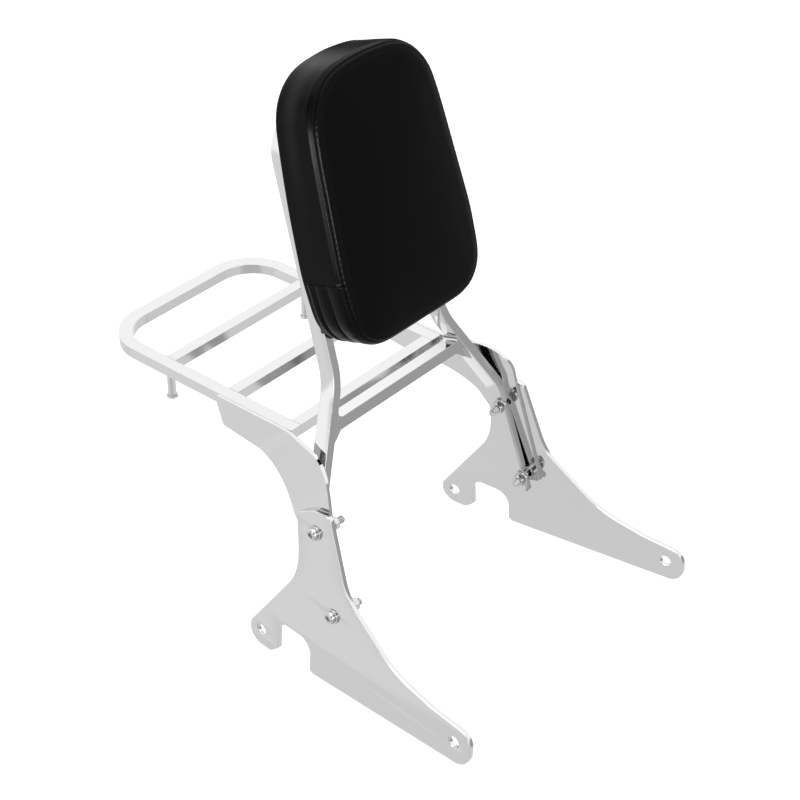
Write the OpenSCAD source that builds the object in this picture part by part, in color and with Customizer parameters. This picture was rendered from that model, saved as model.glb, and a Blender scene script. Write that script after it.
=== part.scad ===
/* [Rack] */
// Height of the rack's top face above the rear mounting holes
rack_top = 242; // [225:1:260]
// Outside width of the luggage rack
rack_w = 240; // [220:2:250]
// Rear end of the rack, measured back from the rear mounting holes
rack_rear = 283.5; // [260:0.5:310]
// Width of the rack's bent rail, seen from above
rail_w = 15; // [12:0.5:16]
// Height of the rail and of the three slats
rail_h = 12; // [10:0.5:14]
// Outer radius of the rail's two rear bends
rail_bend = 58; // [45:1:70]
// Width of a slat, seen from above
slat_w = 14; // [10:0.5:16]

/* [Side plates] */
// Half of the distance over the side plates, at the rear holes
half_w = 168; // [166:0.5:172]
// Thickness of the side plates
plate_t = 6; // [5:0.5:6]
// Angle by which the plates open towards the front
plate_toe = 4.56; // [4.4:0.02:4.7]
// Angle by which the plates open towards the ground
plate_flare = 4.35; // [4.2:0.05:4.5]
// Radius of the four mounting holes
mount_r = 6.8; // [5:0.1:8]
// Thickness of the bent arms that carry the rack
arm_t = 4; // [4:0.25:4.5]

/* [Upright] */
// Angle by which the upright leans back
lean = 16.7; // [16:0.1:17.4]
// Thickness of the flat bar, across the machine
bar_t = 10.6; // [10:0.2:11]
// Width of the flat bar, front to back
bar_d = 19.5; // [18:0.5:20]
// Length of the loop above the level of the pad's foot
loop_len = 244; // [220:1:250]

/* [Pad] */
// Thickness of the padded part
pad_t = 50; // [44:1:54]
// Radius of the soft edge around the pad's front
pad_edge = 11; // [8:1:14]

/* [Hidden] */
$fn = 96;

steel = "silver";
// distance from the front plane of the upright to the origin's level, along the machine
lean_y = -38.2;
lean_z = 320;
// bolts of the side joint: place in the side plate's own plane, measured from the rear hole
bolt_r = 4;
bolt_gap = 0.3;
head_r = 7.2;
head_h = 5.4;
nut_r = 7.4;
nut_h = 6.5;
washer_r = 8.5;
washer_t = 1.6;
upper_out = 10;
lower_out = 6;
far_off = 400;

// direction of one point from another
function unit(v) = v / norm(v);
// half of the angle between a corner's two sides
function half_angle(c, p, n) = acos(unit(p - c) * unit(n - c)) / 2;
// point on a corner's bisector that is d away from both sides
function miter(c, p, n, d) = c + unit(unit(p - c) + unit(n - c)) * d / sin(half_angle(c, p, n));

// angle that one flat of a rounded corner spans
arc_step = 5;

// points along the arc of radius r that rounds a corner
function arc_points(c, p, n, r, steps) = let (
    reach = r / tan(half_angle(c, p, n)),
    centre = miter(c, p, n, r),
    a = c + unit(p - c) * reach - centre,
    b = c + unit(n - c) * reach - centre,
    turn = 180 - 2 * half_angle(c, p, n))
    [for (k = [0:steps]) centre + (a * sin(turn * (1 - k / steps)) + b * sin(turn * k / steps)) / sin(turn)];

// one corner of an outline, sharp or rounded
function corner(c, p, n, r) = r == 0 ? [c]
    : arc_points(c, p, n, abs(r), ceil((180 - 2 * half_angle(c, p, n)) / arc_step));

// closed outline of corner points [x, y, radius]; the radius of an inward corner is negative
module outline(corners) {
    count = len(corners);
    at = [for (c = corners) [c[0], c[1]]];
    polygon([for (i = [0:count - 1])
        each corner(at[i], at[(i + count - 1) % count], at[(i + 1) % count], corners[i][2])]);
}

// mirror image of a node about the machine's middle plane
module left() {
    mirror([1, 0, 0]) children();
}

// both sides of the machine
module both() {
    children();
    left() children();
}

// frame of the side plate on the side of +X: its outer face is the plane x = 0
module in_plate() {
    translate([half_w, 0, 0]) rotate([0, -plate_flare, plate_toe]) children();
}

// frame that stands on the upright's front plane: x across, y up the lean, z towards the rear
module in_lean() {
    translate([0, lean_y, lean_z]) rotate([90 - lean, 0, 0]) mirror([0, 0, 1]) children();
}

// extrude an outline drawn as [y, z] along X, from x = from to x = to
module along_x(from, to) {
    translate([from, 0, 0]) rotate([90, 0, 90]) linear_extrude(to - from) children();
}

// flat side plate: hook notch, tail lug, nose lug and the tongue that carries the joint
plate_corners = [
    [-49.5, 181, 4], [-71, 195.5, 20], [-101, 201.5, 6], [-129, 123, 0], [-141, 102.5, -40], [-197, 61, -110],
    [-252, 50.5, 0], [-306, 46.5, 16], [-306, 5.2, 20], [-81.5, -10.8, 3],
    [-76.5, -8, 3], [-76.5, 28.2, -17], [-27.2, 28.2, -13], [-27.2, -9, 3],
    [-15.5, -19.4, 10], [17.5, -19.4, 18], [17.5, 3.5, 14], [-53.6, 105, -75], [-53.6, 140, -200]];

module plate_blank() {
    along_x(-plate_t, 0) outline(plate_corners);
}

// hole drilled across the machine, so that the pair shares one axis
module cross_hole(y, z, r) {
    translate([-far_off, y, z]) rotate([0, 90, 0]) cylinder(r = r, h = 2 * far_off);
}

// place of a bolt in the plate's frame
upper_bolt = [-80.5, 170];
lower_bolt = [-110, 81.5];
front_hole = [-283.3, 28];

module at_bolt(b) {
    in_plate() translate([0, b[0], b[1]]) rotate([0, 90, 0]) children();
}

module bolt_hole(b, r) {
    at_bolt(b) translate([0, 0, -70]) cylinder(r = r, h = 90);
}

module plate() {
    difference() {
        in_plate() plate_blank();
        cross_hole(0, 0, mount_r);
        cross_hole(front_hole[0], front_hole[1], mount_r);
        bolt_hole(upper_bolt, bolt_r + bolt_gap);
        bolt_hole(lower_bolt, bolt_r + bolt_gap);
    }
}

module side_plate_right() {
    color(steel) left() plate();
}

module side_plate_left() {
    color(steel) plate();
}

// upright: corner points of the outer edge of one half, from the foot to the top
loop_outer = [[158, -270, 0], [151, -132.8, 45], [89.3, -19.7, -70], [78.6, loop_len, 42]];
foot = [loop_outer[0][0], loop_outer[0][1]];
knee = [loop_outer[1][0], loop_outer[1][1]];
leg_dir = unit(foot - knee);
leg_across = [leg_dir[1], -leg_dir[0]];

// both halves of an outline that is given from the foot to the top
function whole(half) = concat(half, [for (i = [len(half) - 1:-1:0]) [-half[i][0], half[i][1], half[i][2]]]);

// inner edge: every corner moves in along its bisector by the bar's thickness
function inner_corner(i) = let (c = loop_outer[i], at = [c[0], c[1]],
    p = [loop_outer[i - 1][0], loop_outer[i - 1][1]],
    n = i == 3 ? [-c[0], c[1]] : [loop_outer[i + 1][0], loop_outer[i + 1][1]])
    concat(miter(at, p, n, bar_t * sign(c[2])), c[2] - bar_t);
foot_gap = foot + leg_across * bar_t + leg_dir * 20;
loop_inner = concat([concat(foot_gap, 0)], [for (i = [1:3]) inner_corner(i)]);

module upright_loop() {
    color(steel) difference() {
        in_lean() linear_extrude(bar_d) difference() {
            outline(whole(loop_outer));
            outline(whole(loop_inner));
        }
        both() arm_seat();
        both() bolt_hole(upper_bolt, bolt_r + bolt_gap);
        both() bolt_hole(lower_bolt, bolt_r + bolt_gap);
        screw_bore(screw_r + screw_gap);
    }
}

// flat pressed on the leg where the arm lies against it
module arm_seat() {
    in_plate() translate([-plate_t - arm_t, -200, 0]) cube([50, 250, 230]);
}

// space on the middle's side of a line d inside the leg's outer edge
module leg_zone(d) {
    low = foot + leg_across * d + leg_dir * 60;
    high = knee + leg_across * d - leg_dir * 60;
    in_lean() translate([0, 0, -60]) linear_extrude(140) polygon([[0, low[1]], low, high, [0, high[1]]]);
}

// crossbar: place of its foot up the lean, its height and the weld's radius
cross_u = -69.4;
cross_h = 12;
weld_r = 4;
// gusset under each end: reach along the bar, height on the leg, thickness and distance from the front
gusset_x = 89;
gusset_u = -88;
gusset_t = 8;
gusset_back = 5;

// inner edge of the slanted leg at a place up the lean
function slant_x(u) = let (a = loop_inner[1], b = loop_inner[2]) a[0] + (b[0] - a[0]) * (u - a[1]) / (b[1] - a[1]);

module upright_crossbar() {
    top = cross_u + cross_h;
    corner = [slant_x(top), top];
    weld = arc_points(corner, [slant_x(top + 20), top + 20], [0, top], weld_r, 4);
    half = concat([[slant_x(cross_u), cross_u]], weld);
    other = [for (i = [len(half) - 1:-1:0]) [-half[i][0], half[i][1]]];
    color(steel) in_lean() union() {
        linear_extrude(bar_d) polygon(concat(half, other));
        for (s = [-1, 1]) translate([0, 0, gusset_back]) linear_extrude(gusset_t) polygon([
            [s * gusset_x, cross_u], [s * gusset_x, cross_u + 1], [s * slant_x(cross_u + 1), cross_u + 1],
            [s * slant_x(gusset_u), gusset_u]]);
    }
}

// rack seen from above
front_y = -10;
rail_out = [[-rack_w / 2, front_y, 0], [-rack_w / 2, rack_rear, rail_bend], [rack_w / 2, rack_rear, rail_bend], [rack_w / 2, front_y, 0]];
rail_in_x = rack_w / 2 - rail_w;
rail_in = [[-rail_in_x, front_y - 20, 0], [-rail_in_x, rack_rear - rail_w - 1.5, rail_bend - rail_w],
    [rail_in_x, rack_rear - rail_w - 1.5, rail_bend - rail_w], [rail_in_x, front_y - 20, 0]];

module rack_rail() {
    color(steel) translate([0, 0, rack_top - rail_h]) linear_extrude(rail_h) difference() {
        outline(rail_out);
        outline(rail_in);
    }
}

module slat(y) {
    color(steel) translate([-rail_in_x, y, rack_top - rail_h]) cube([2 * rail_in_x, slat_w, rail_h]);
}

slat_rear_y = 174.5;
slat_middle_y = 80.5;

module rack_slat_rear() {
    slat(slat_rear_y);
}

module rack_slat_middle() {
    slat(slat_middle_y);
}

module rack_slat_front() {
    slat(front_y);
}

// bent arm: a sheet that lies along the rail, turns out and then lies along the side plate
plate_cos = cos(plate_flare) * cos(plate_toe);
slope_y = cos(plate_flare) * sin(plate_toe) / plate_cos;
slope_z = sin(plate_flare) / plate_cos;
slope = norm([slope_y, slope_z]);
bend_angle = atan2(slope_z, slope_y);
sheet_x = half_w - plate_t / plate_cos;
sheet_out = [sheet_x - slope * -90, -90];
bend_low = [sheet_x - slope * 88, 88];
bend_high = [rack_w / 2 + arm_t, 161];
sheet_end = [rack_w / 2 + arm_t, 330];
low_in = miter(bend_low, sheet_out, bend_high, arm_t);
high_in = miter(bend_high, bend_low, sheet_end, -arm_t);

bend_r = 40;

module arm_sheet() {
    foot_in = sheet_out - [arm_t / cos(atan(slope)), 0];
    end_in = sheet_end - [arm_t, 0];
    corners = [concat(sheet_out, 0), concat(bend_low, bend_r), concat(bend_high, arm_t - bend_r),
        concat(sheet_end, 0), concat(end_in, 0), concat(high_in, bend_r), concat(low_in, arm_t - bend_r),
        concat(foot_in, 0)];
    rotate([bend_angle, 0, 0]) linear_extrude(700, center = true) outline(corners);
}

// side view of the arm
arm_corners = [[97, rack_top, 3], [86, 208, 6], [-18, 196, -90], [-68, 140, -60], [-101, 69.5, 4],
    [-124, 69.5, 4], [-94, 190, 60], [-84, rack_top, 38]];

module arm() {
    difference() {
        intersection() {
            arm_sheet();
            along_x(80, 200) outline(arm_corners);
        }
        bolt_hole(upper_bolt, bolt_r + bolt_gap);
        bolt_hole(lower_bolt, bolt_r + bolt_gap);
    }
}

module rack_arm_right() {
    color(steel) left() arm();
}

module rack_arm_left() {
    color(steel) arm();
}

// two short posts under the rear slat, with the screw foot of a tie-down
post_x = 107;
post_y = 181.5;
post_r = 4.6;
post_low = 197;

module rack_posts() {
    color(steel) both() translate([post_x, post_y, post_low]) cylinder(r = post_r, h = rack_top - rail_h - post_low);
}

module rack_post_feet() {
    color(steel) both() translate([post_x, post_y, post_low - 3.5]) cylinder(r = post_r + 1.6, h = 3.5);
}

// button-headed bolt along the plate's normal; reach is the depth of its end
module bolt(b, reach) {
    at_bolt(b) {
        translate([0, 0, washer_t]) intersection() {
            cylinder(r = head_r, h = head_h);
            translate([0, 0, head_h - 9.4]) sphere(r = 9.4);
        }
        translate([0, 0, -reach]) cylinder(r = bolt_r, h = reach + washer_t + 1);
    }
}

// depth of the nuts' outer faces behind the side plate's outer face
upper_depth = 22.5;
lower_depth = 27;

module bolts_upper() {
    color(steel) both() bolt(upper_bolt, upper_depth + nut_h + upper_out);
}

module bolts_lower() {
    color(steel) both() bolt(lower_bolt, lower_depth + nut_h + lower_out);
}

module ring(b, low, high, r) {
    at_bolt(b) translate([0, 0, low]) difference() {
        cylinder(r = r, h = high - low);
        translate([0, 0, -1]) cylinder(r = bolt_r + bolt_gap, h = high - low + 2);
    }
}

module washers_outer() {
    color(steel) both() {
        ring(upper_bolt, 0, washer_t, washer_r);
        ring(lower_bolt, 0, washer_t, washer_r);
    }
}

// tapered spacer that fills the gap between the arm and the leg at the lower bolt
module spacers_lower() {
    color(steel) both() difference() {
        ring(lower_bolt, -40, -plate_t - arm_t, washer_r);
        leg_zone(0);
    }
}

// tapered washer between the leg and the nut
module inner_washer(b, depth) {
    intersection() {
        ring(b, -depth, 0, washer_r);
        leg_zone(bar_t);
    }
}

module washers_inner() {
    color(steel) both() {
        inner_washer(upper_bolt, upper_depth);
        inner_washer(lower_bolt, lower_depth);
    }
}

module nut(b, depth) {
    at_bolt(b) translate([0, 0, -depth - nut_h]) difference() {
        cylinder(r = nut_r, h = nut_h, $fn = 6);
        translate([0, 0, -1]) cylinder(r = bolt_r, h = nut_h + 2);
    }
}

module nuts() {
    color(steel) both() {
        nut(upper_bolt, upper_depth);
        nut(lower_bolt, lower_depth);
    }
}

// pad outline in the leaning frame: round top, wider foot
pad_half = [[97, 16.5, 45], [101.5, 100, 140], [93, 215, 120], [84, 291, 60]];
pad_corners = concat([for (c = pad_half) [-c[0], c[1], c[2]]], [[0, 300, 260]],
    [for (i = [3:-1:0]) pad_half[i]]);
strap_t = 3;
board_t = 5;
board_inset = 5;
edge_steps = 6;

pad_steps = 7;

// corner i of the pad's outline, moved in by an inset
function pad_corner(i) = let (c = pad_corners[(i + 9) % 9]) [c[0], c[1]];
function pad_points(inset) = [for (i = [0:8]) let (
    c = pad_corner(i), p = pad_corner(i - 1), n = pad_corner(i + 1),
    r = pad_corners[i][2])
    each arc_points(miter(c, p, n, inset), miter(c, p, n, inset) + p - c, miter(c, p, n, inset) + n - c,
        r - inset, pad_steps)];

// rings of the cushion's skin: height above its back and how far it is pulled in
pad_rings = concat([[0, 3], [3, 0]], [for (k = [0:edge_steps]) let (turn = 90 * k / edge_steps)
    [pad_t - pad_edge * (1 - sin(turn)), pad_edge * (1 - cos(turn))]]);

module pad_cushion() {
    count = len(pad_points(0));
    last = (len(pad_rings) - 1) * count;
    points = [for (q = pad_rings) for (p = pad_points(q[1])) [p[0], p[1], q[0]]];
    back = [for (i = [count - 1:-1:0]) i];
    front = [for (i = [0:count - 1]) last + i];
    sides = [for (j = [0:count:last - 1]) for (i = [0:count - 1]) let (a = j + i, b = j + (i + 1) % count)
        each [[a, b, a + count], [b, b + count, a + count]]];
    color("black") in_lean() translate([0, 0, -strap_t - board_t]) mirror([0, 0, 1])
        polyhedron(points, concat([back, front], sides));
}

// screws through the upright, the strap and part of the board
strap_us = [45, 205];
strap_h = 20;
screw_r = 2.5;
screw_gap = 0.3;
screw_head_r = 4.8;
screw_head_h = 3;
screw_in = 3;

// middle of the upright's bar at a place up the lean
function bar_x(u) = let (a = loop_outer[2], b = loop_outer[3])
    a[0] + (b[0] - a[0]) * (u - a[1]) / (b[1] - a[1]) - bar_t / 2;

module at_screws() {
    in_lean() for (u = strap_us) for (s = [-1, 1]) translate([s * bar_x(u), u, 0]) children();
}

module screw_bore(r) {
    at_screws() translate([0, 0, -strap_t - screw_in]) cylinder(r = r, h = strap_t + screw_in + bar_d + 1);
}

module pad_board() {
    color("dimgray") difference() {
        in_lean() translate([0, 0, -strap_t - board_t]) linear_extrude(board_t) polygon(pad_points(board_inset));
        screw_bore(screw_r);
    }
}

module pad_straps() {
    color("dimgray") difference() {
        in_lean() for (u = strap_us)
            translate([-bar_x(u) - 9, u - strap_h / 2, -strap_t]) cube([2 * bar_x(u) + 18, strap_h, strap_t]);
        screw_bore(screw_r);
    }
}

module pad_screws() {
    color(steel) {
        screw_bore(screw_r);
        at_screws() translate([0, 0, bar_d]) cylinder(r = screw_head_r, h = screw_head_h);
    }
}

side_plate_right();
side_plate_left();
upright_loop();
upright_crossbar();
rack_rail();
rack_slat_rear();
rack_slat_middle();
rack_slat_front();
rack_arm_right();
rack_arm_left();
rack_posts();
rack_post_feet();
bolts_upper();
bolts_lower();
washers_outer();
spacers_lower();
washers_inner();
nuts();
pad_cushion();
pad_board();
pad_straps();
pad_screws();
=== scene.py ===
"""Looks of a motorbike backrest with a luggage rack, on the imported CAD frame.

The rack, its arms and posts, the crossbar, the spacers, the pad's straps and its board keep their CAD
shapes and get their finishes. The side plates, the upright, the cushion, the bolts, the nuts, the
washers, the tie-down feet and the pad's screws are made here in full detail and stand for their nodes.

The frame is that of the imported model: X across, Y to the rear, Z up. Sizes of the part's own pieces
are in millimetres and angles in degrees; finished meshes and the studio are in metres.
"""

import logging
import math
from dataclasses import dataclass
from enum import Enum

import bmesh
import bpy
import numpy as np
from mathutils import Matrix, Vector
from mathutils.kdtree import KDTree


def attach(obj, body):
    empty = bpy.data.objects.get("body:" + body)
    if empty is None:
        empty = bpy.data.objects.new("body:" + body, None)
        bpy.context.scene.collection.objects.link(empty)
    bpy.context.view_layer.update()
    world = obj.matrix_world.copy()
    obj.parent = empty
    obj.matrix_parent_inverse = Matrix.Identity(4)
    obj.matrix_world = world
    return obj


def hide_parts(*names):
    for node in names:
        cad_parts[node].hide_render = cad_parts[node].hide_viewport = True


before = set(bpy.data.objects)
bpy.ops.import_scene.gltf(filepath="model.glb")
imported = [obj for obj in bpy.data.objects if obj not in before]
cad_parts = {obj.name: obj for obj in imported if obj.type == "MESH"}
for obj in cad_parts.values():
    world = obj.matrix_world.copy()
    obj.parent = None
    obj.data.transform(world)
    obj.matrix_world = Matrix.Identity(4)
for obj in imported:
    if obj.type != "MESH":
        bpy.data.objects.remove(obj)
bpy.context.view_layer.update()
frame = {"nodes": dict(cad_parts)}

logging.basicConfig(level=logging.INFO, format="%(message)s")
log = logging.getLogger("sissy_bar")

Triple = tuple[float, float, float]

MM = 0.001
TURN = 2 * math.pi
IMAGE_SIDE = 800
SIDES = (-1, 1)
ARC_STEP_DEGREES = 3
HOLE_POINTS = 48
EDGE_STEPS = 2
WELD_MM = 1e-3
SHEET_CREASE = 28.0
TURNED_CREASE = 35.0
NUT_CREASE = 25.0


def linear(code: str) -> tuple[float, float, float, float]:
    """Turns an sRGB hex colour into linear light.

    Args:
        code: six hex digits, such as "F2F3F4".

    Returns:
        Red, green, blue and an alpha of one.
    """
    parts = [int(code[i : i + 2], 16) / 255 for i in (0, 2, 4)]
    return (*[p / 12.92 if p <= 0.04045 else ((p + 0.055) / 1.055) ** 2.4 for p in parts], 1.0)


def add_node(
    tree: bpy.types.NodeTree, kind: str, settings: dict | None = None, links: dict | None = None
) -> bpy.types.Node:
    """Adds one node with its settings and its incoming links.

    Args:
        tree: the node tree.
        kind: the node's type name.
        settings: values by name; a lower-case name is a property of the node, another is an input.
        links: outgoing sockets of other nodes by the name or number of the input they feed.

    Returns:
        The new node.
    """
    node = tree.nodes.new(kind)
    for name, value in (settings or {}).items():
        if isinstance(name, str) and name.islower():
            setattr(node, name, value)
        else:
            node.inputs[name].default_value = value
    for name, source in (links or {}).items():
        tree.links.new(source, node.inputs[name])
    return node


def empty_material(name: str) -> bpy.types.Material:
    """Gives a new node material whose tree is still empty.

    Args:
        name: name of the material.

    Returns:
        The material.
    """
    material = bpy.data.materials.new(name)
    material.use_nodes = True
    material.node_tree.nodes.clear()
    return material


def smooth_step(x: np.ndarray | float) -> np.ndarray:
    """Runs from 0 at x = 0 to 1 at x = 1 as 3 x squared less 2 x cubed."""
    x = np.clip(x, 0.0, 1.0)
    return x * x * (3 - 2 * x)


def bell(x: np.ndarray, width: float) -> np.ndarray:
    """Gives e^(-(x / width)^2), which is 1 at x = 0 and falls off to both sides."""
    return np.exp(-((x / width) ** 2))


def interpolate(at: np.ndarray, places: np.ndarray, points: np.ndarray) -> np.ndarray:
    """Gives the points by 2 at some places along a curve whose own points stand at known places."""
    return np.column_stack([np.interp(at, places, points[:, k]) for k in range(2)])


def search_tree(points: np.ndarray) -> KDTree:
    """Sorts points into a tree that finds the nearest ones.

    Args:
        points: places, points by 3.

    Returns:
        The tree; it gives each point by its number.
    """
    tree = KDTree(len(points))
    for i, point in enumerate(points):
        tree.insert(point, i)
    tree.balance()
    return tree


def put(name: str, data: bpy.types.ID) -> bpy.types.Object:
    """Puts a mesh, a curve, a lamp or a camera into the scene.

    Args:
        name: name of the object.
        data: what the object shows.

    Returns:
        The new object.
    """
    piece = bpy.data.objects.new(name, data)
    bpy.context.scene.collection.objects.link(piece)
    return piece


def smooth_piece(name: str, points: np.ndarray, faces: list[list[int]]) -> bpy.types.Object:
    """Makes a smooth-shaded object from its points and faces.

    Args:
        name: name of the piece.
        points: places, points by 3.
        faces: the numbers of each face's points.

    Returns:
        The new object, linked to the scene.
    """
    mesh = bpy.data.meshes.new(name)
    mesh.from_pydata(points.tolist(), [], faces)
    mesh.update()
    mesh.shade_smooth()
    return put(name, mesh)


def read_points(mesh: bpy.types.Mesh) -> np.ndarray:
    """Gives the places of a mesh's points.

    Args:
        mesh: the mesh.

    Returns:
        Points by 3, in the mesh's own unit.
    """
    flat = np.empty(len(mesh.vertices) * 3)
    mesh.vertices.foreach_get("co", flat)
    return flat.reshape(-1, 3)


def carry_round(profile: list[tuple], columns: int) -> np.ndarray:
    """Carries a profile round its axis: x = r cos a, y = r sin a, z = h.

    Args:
        profile: a radius and a height for each row, each one number or a value for every column.
        columns: number of points round the axis.

    Returns:
        Rows by columns by 3.
    """
    turn = np.linspace(0, TURN, columns, endpoint=False)
    rows = [np.broadcast_arrays(r * np.cos(turn), r * np.sin(turn), h) for r, h in profile]
    return np.stack([np.stack(row, axis=-1) for row in rows])


def grid_piece(name: str, points: np.ndarray, closed_rows: bool = False) -> bpy.types.Object:
    """Makes a mesh object from a grid of points whose columns run round and close.

    Quad i, j joins rows i and i + 1 and columns j and j + 1. Where the first or the last row is one
    single point, that row becomes a pole with a fan of triangles. The faces are turned outwards by the
    sign of the enclosed volume, the sum over all triangles of a . (b x c) / 6.

    Args:
        name: name of the piece.
        points: array of rows by columns by 3.
        closed_rows: joins the last row to the first, as on a ring.

    Returns:
        The new object, linked to the scene, with smooth faces.
    """
    rows, cols, _ = points.shape
    index = np.arange(rows * cols).reshape(rows, cols)
    verts = points.reshape(-1, 3)
    for end in (0, -1):
        if not closed_rows and np.ptp(points[end], axis=0).max() < 1e-9:
            index[end] = index[end, 0]
    lower = np.roll(index, -1, axis=0) if closed_rows else index[1:]
    upper = index if closed_rows else index[:-1]
    quads = np.stack([upper, lower, np.roll(lower, -1, 1), np.roll(upper, -1, 1)], axis=-1).reshape(-1, 4)
    used = np.unique(quads)
    place = np.full(len(verts), -1)
    place[used] = np.arange(len(used))
    faces = [[int(place[v]) for v in dict.fromkeys(q)] for q in quads.tolist()]
    verts = verts[used]
    tri = np.array([[f[0], f[i], f[i + 1]] for f in faces for i in range(1, len(f) - 1)])
    a, b, c = (verts[tri[:, k]] for k in range(3))
    middle = verts.mean(0)
    if np.einsum("ij,ij->i", a - middle, np.cross(b - middle, c - middle)).sum() < 0:
        faces = [f[::-1] for f in faces]
    return smooth_piece(name, verts, faces)


def join(name: str, pieces: list[bpy.types.Object]) -> bpy.types.Object:
    """Joins pieces whose places are in their meshes into one object.

    Args:
        name: name of the joined piece.
        pieces: the single pieces, which are removed.

    Returns:
        The joined object, with smooth faces.
    """
    verts, faces, base = [], [], 0
    for piece in pieces:
        mesh = piece.data
        verts.append(read_points(mesh))
        faces += [[base + v for v in p.vertices] for p in mesh.polygons]
        base += len(mesh.vertices)
        bpy.data.objects.remove(piece)
        bpy.data.meshes.remove(mesh)
    return smooth_piece(name, np.vstack(verts), faces)


def corner_arc(
    before: np.ndarray, corner: np.ndarray, after: np.ndarray, radius: float, count: int = 0
) -> np.ndarray:
    """Rounds a corner by the arc of a circle that touches both of its sides.

    The centre lies on the corner's bisector at radius over sin of half the corner's angle, and the
    points turn evenly from one touching point to the other.

    Args:
        before: a point on the side that the arc starts from.
        corner: the corner.
        after: a point on the side that the arc ends on.
        radius: the arc's radius.
        count: number of points; 0 gives about one for every ARC_STEP_DEGREES.

    Returns:
        Points by 2.
    """
    a = (before - corner) / np.linalg.norm(before - corner)
    b = (after - corner) / np.linalg.norm(after - corner)
    half = math.acos(float(np.clip(a @ b, -1, 1))) / 2
    centre = corner + (a + b) / np.linalg.norm(a + b) * radius / math.sin(half)
    first = corner + a * radius / math.tan(half) - centre
    last = corner + b * radius / math.tan(half) - centre
    turn = math.acos(float(np.clip(first @ last / radius**2, -1, 1)))
    count = count or max(3, int(math.degrees(turn) / ARC_STEP_DEGREES) + 2)
    k = np.linspace(0, 1, count)[:, None]
    return centre + (np.sin((1 - k) * turn) * first + np.sin(k * turn) * last) / math.sin(turn)


def rounded_outline(corners: list[Triple], step: float = 8.0) -> np.ndarray:
    """Gives a closed outline whose corners are arcs. Straight runs get points too.

    Args:
        corners: x, y and the radius of each corner, in mm; the sign of a radius doesn't matter.
        step: the longest straight run between two points, in mm.

    Returns:
        Points by 2, in mm.
    """
    at = [np.array(c[:2], dtype=float) for c in corners]
    parts = []
    for i, corner in enumerate(corners):
        radius = abs(corner[2])
        if radius < 1e-6:
            parts.append(at[i][None, :])
        else:
            parts.append(corner_arc(at[i - 1], at[i], at[(i + 1) % len(at)], radius))
    curve = np.vstack(parts)
    ahead = np.roll(curve, -1, axis=0)
    count = np.maximum(1, np.ceil(np.linalg.norm(ahead - curve, axis=1) / step)).astype(int)
    start = np.repeat(np.arange(len(curve)), count)
    share = (np.arange(count.sum()) - np.repeat(np.cumsum(count) - count, count)) / np.repeat(count, count)
    return curve[start] + (ahead - curve)[start] * share[:, None]


def face_out(mesh: bpy.types.Mesh, weld: float = 0.0) -> None:
    """Turns a mesh's faces outwards.

    Args:
        mesh: the mesh.
        weld: points closer than this are merged first; 0 merges none.
    """
    body = bmesh.new()
    body.from_mesh(mesh)
    if weld:
        bmesh.ops.remove_doubles(body, verts=body.verts, dist=weld)
    bmesh.ops.recalc_face_normals(body, faces=body.faces)
    body.to_mesh(mesh)
    body.free()


def flat_part(
    name: str, edge: np.ndarray, holes: list[Triple], thickness: float, bevel: float
) -> bpy.types.Object:
    """Makes a flat part as a filled curve with thickness and rounded edges, then as a mesh.

    Args:
        name: name of the piece.
        edge: the outline, points by 2 in mm.
        holes: x, y and radius of each round hole, in mm.
        thickness: the part's full thickness in mm, about the curve's own plane.
        bevel: radius of its rounded edges in mm.

    Returns:
        The new object, its mesh in mm in the curve's own plane.
    """
    if np.cross(edge, np.roll(edge, -1, axis=0)).sum() < 0:
        edge = edge[::-1]
    turn = np.linspace(TURN, 0, HOLE_POINTS, endpoint=False)
    loops = [edge] + [np.column_stack([x + r * np.cos(turn), y + r * np.sin(turn)]) for x, y, r in holes]
    curve = bpy.data.curves.new(name, "CURVE")
    curve.dimensions, curve.fill_mode = "2D", "BOTH"
    curve.extrude, curve.offset = thickness / 2 - bevel, -bevel
    curve.bevel_depth, curve.bevel_resolution = bevel, EDGE_STEPS
    for loop in loops:
        spline = curve.splines.new("POLY")
        spline.points.add(len(loop) - 1)
        places = np.column_stack([loop, np.zeros(len(loop)), np.ones(len(loop))])
        spline.points.foreach_set("co", places.ravel())
        spline.use_cyclic_u = True
    shape = put(name, curve)
    mesh = bpy.data.meshes.new_from_object(shape.evaluated_get(bpy.context.evaluated_depsgraph_get()))
    bpy.data.objects.remove(shape)
    face_out(mesh, WELD_MM)
    mesh.name = name
    return put(name, mesh)


def sharpen(piece: bpy.types.Object, angle: float = TURNED_CREASE) -> None:
    """Marks edges whose faces meet at more than an angle in degrees as sharp."""
    piece.data.set_sharp_from_angle(angle=math.radians(angle))


def set_points(piece: bpy.types.Object, points: np.ndarray, flip: bool) -> None:
    """Moves a piece's points to their places in metres and shades it smooth but for sharp edges.

    Args:
        piece: the piece.
        points: new places, points by 3.
        flip: turns the faces round, after a mirror image.
    """
    piece.data.vertices.foreach_set("co", points.ravel())
    if flip:
        piece.data.flip_normals()
    piece.data.update()
    piece.data.shade_smooth()
    sharpen(piece, SHEET_CREASE)


class Slot(Enum):
    """Material slots of the record that new pieces take their finish from."""

    CHROME = "chrome"
    HARDWARE = "hardware"
    VINYL = "vinyl"
    BOARD = "board"
    BLACK_STEEL = "black_steel"


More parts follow.
